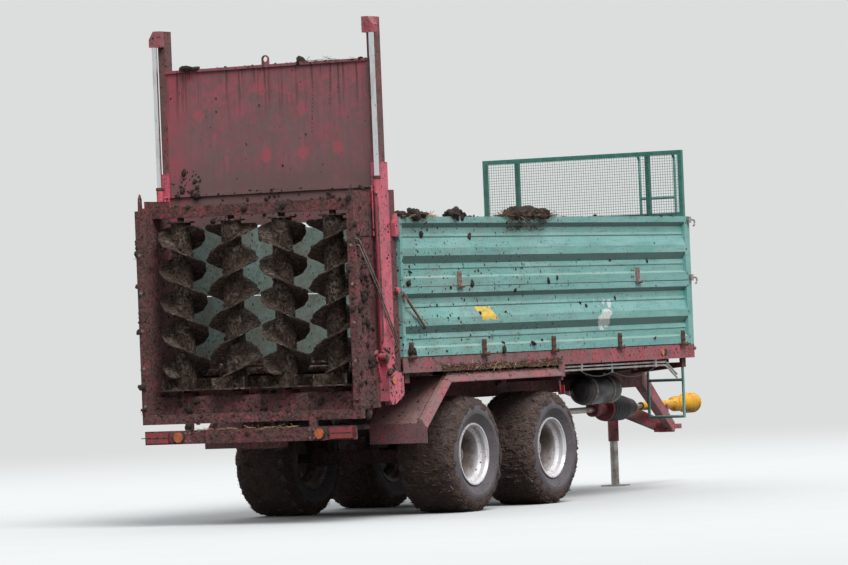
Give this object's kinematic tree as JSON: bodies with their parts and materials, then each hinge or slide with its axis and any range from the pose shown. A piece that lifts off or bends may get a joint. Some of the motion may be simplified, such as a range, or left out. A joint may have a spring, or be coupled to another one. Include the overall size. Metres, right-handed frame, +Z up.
{
  "type": "tandem axle manure spreader",
  "caption": "Towed tandem-axle manure spreader with ribbed drop sides, a lifting rear gate on cylinders, standing beaters, mesh guard, ladder, drawbar, jack and drive shaft.",
  "frame": {"origin": "on the ground, under the middle of the machine's length and width", "axes": "+X forward, the way it is towed; +Y to its left; +Z up"},
  "size_m": [7.465, 1.97, 3.698],
  "materials": {
    "red_paint": "worn satin enamel, dusty",
    "beater_steel": "scoured and manure stained",
    "green_paint": "satin enamel on pressed steel",
    "dark_green_paint": "satin enamel",
    "floor_planks": "worn and stained",
    "worn_steel": "rough, rust brown",
    "chrome_rod": "polished",
    "lamp_lens": "clear moulded",
    "axle_paint": "dirty",
    "tyre_rubber": "caked with mud",
    "rim_paint": "silver enamel, dusty",
    "zinc_steel": "zinc plated, dull",
    "yellow_plastic": "moulded",
    "black_rubber": "dull black"
  },
  "bodies": {
    "chassis": {"chassis_frame": "red_paint", "bolsters": "red_paint", "sills": "red_paint", "floor": "floor_planks", "floor_chains": "worn_steel", "floor_slats": "worn_steel", "floor_drive": "worn_steel", "front_wall": "green_paint", "guard_frame": "dark_green_paint", "guard_mesh": "dark_green_paint", "ladder_rails": "dark_green_paint", "ladder_rungs": "dark_green_paint", "board_latches": "worn_steel", "rear_portal": "red_paint", "cylinder_barrels": "red_paint", "unit_sides": "red_paint", "unit_frame": "red_paint", "unit_top_beam": "red_paint", "beater_gearbox": "beater_steel", "light_board": "red_paint", "lamps": "lamp_lens", "fenders": "red_paint", "axles": "axle_paint", "leaf_springs": "axle_paint", "drawbar": "red_paint", "hitch_eye": "worn_steel", "jack_tube": "red_paint", "shaft_guard": "yellow_plastic", "joint_guard": "black_rubber", "shaft_mounts": "worn_steel", "air_tank": "black_rubber", "brake_pipes": "zinc_steel"},
    "board_right_lower": {"board_right_lower": "green_paint"},
    "board_right_upper": {"board_right_upper": "green_paint"},
    "board_left_lower": {"board_left_lower": "green_paint"},
    "board_left_upper": {"board_left_upper": "green_paint"},
    "gate_slide": {"gate": "red_paint", "gate_rails": "red_paint", "cylinder_rods": "chrome_rod"},
    "jack": {"jack_leg": "zinc_steel"},
    "driveline": {"drive_shaft": "zinc_steel", "shaft_yoke": "zinc_steel"},
    "beater_1": {"beater_1": "beater_steel"},
    "beater_2": {"beater_2": "beater_steel"},
    "beater_3": {"beater_3": "beater_steel"},
    "beater_4": {"beater_4": "beater_steel"},
    "wheel_rear_right": {"tyre_rear_right": "tyre_rubber", "rim_rear_right": "rim_paint"},
    "wheel_rear_left": {"tyre_rear_left": "tyre_rubber", "rim_rear_left": "rim_paint"},
    "wheel_front_right": {"tyre_front_right": "tyre_rubber", "rim_front_right": "rim_paint"},
    "wheel_front_left": {"tyre_front_left": "tyre_rubber", "rim_front_left": "rim_paint"}
  },
  "joints": [
    {"name": "wheel_rear_right_spin", "type": "hinge", "parent": "chassis", "child": "wheel_rear_right", "pos_m": [-1.9525, -0.708, 0.433], "axis": [0, 1, 0], "continuous": true},
    {"name": "wheel_rear_left_spin", "type": "hinge", "parent": "chassis", "child": "wheel_rear_left", "pos_m": [-1.9525, 0.708, 0.433], "axis": [0, 1, 0], "continuous": true},
    {"name": "wheel_front_right_spin", "type": "hinge", "parent": "chassis", "child": "wheel_front_right", "pos_m": [-0.6775, -0.708, 0.433], "axis": [0, 1, 0], "continuous": true},
    {"name": "wheel_front_left_spin", "type": "hinge", "parent": "chassis", "child": "wheel_front_left", "pos_m": [-0.6775, 0.708, 0.433], "axis": [0, 1, 0], "continuous": true},
    {"name": "beater_1_spin", "type": "hinge", "parent": "chassis", "child": "beater_1", "pos_m": [-3.4875, -0.651, 1.6], "axis": [0, 0, 1], "continuous": true},
    {"name": "beater_2_spin", "type": "hinge", "parent": "chassis", "child": "beater_2", "pos_m": [-3.4875, -0.217, 1.6], "axis": [0, 0, 1], "continuous": true},
    {"name": "beater_3_spin", "type": "hinge", "parent": "chassis", "child": "beater_3", "pos_m": [-3.4875, 0.217, 1.6], "axis": [0, 0, 1], "continuous": true},
    {"name": "beater_4_spin", "type": "hinge", "parent": "chassis", "child": "beater_4", "pos_m": [-3.4875, 0.651, 1.6], "axis": [0, 0, 1], "continuous": true},
    {"name": "driveline_spin", "type": "hinge", "parent": "chassis", "child": "driveline", "pos_m": [0, 0, 0.67], "axis": [1, 0, 0], "continuous": true},
    {"name": "board_right_lower_fold", "type": "hinge", "parent": "chassis", "child": "board_right_lower", "pos_m": [0, -0.973, 1.186], "axis": [1, 0, 0], "range_deg": [0, 90]},
    {"name": "board_right_upper_fold", "type": "hinge", "parent": "board_right_lower", "child": "board_right_upper", "pos_m": [0, -0.973, 1.704], "axis": [1, 0, 0], "range_deg": [0, 180]},
    {"name": "board_left_lower_fold", "type": "hinge", "parent": "chassis", "child": "board_left_lower", "pos_m": [0, 0.973, 1.186], "axis": [-1, 0, 0], "range_deg": [0, 90]},
    {"name": "board_left_upper_fold", "type": "hinge", "parent": "board_left_lower", "child": "board_left_upper", "pos_m": [0, 0.973, 1.704], "axis": [-1, 0, 0], "range_deg": [0, 180]},
    {"name": "gate_lift", "type": "slide", "parent": "chassis", "child": "gate_slide", "axis": [0, 0, -1], "range_m": [0, 0.945]},
    {"name": "jack_slide", "type": "slide", "parent": "chassis", "child": "jack", "axis": [0, 0, 1], "range_m": [0, 0.35]}
  ],
  "couplings": [
    {"joint": "beater_2_spin", "follows": "beater_1_spin", "ratio": -1},
    {"joint": "beater_3_spin", "follows": "beater_1_spin", "ratio": 1},
    {"joint": "beater_4_spin", "follows": "beater_1_spin", "ratio": -1},
    {"joint": "driveline_spin", "follows": "beater_1_spin", "ratio": 2}
  ]
}
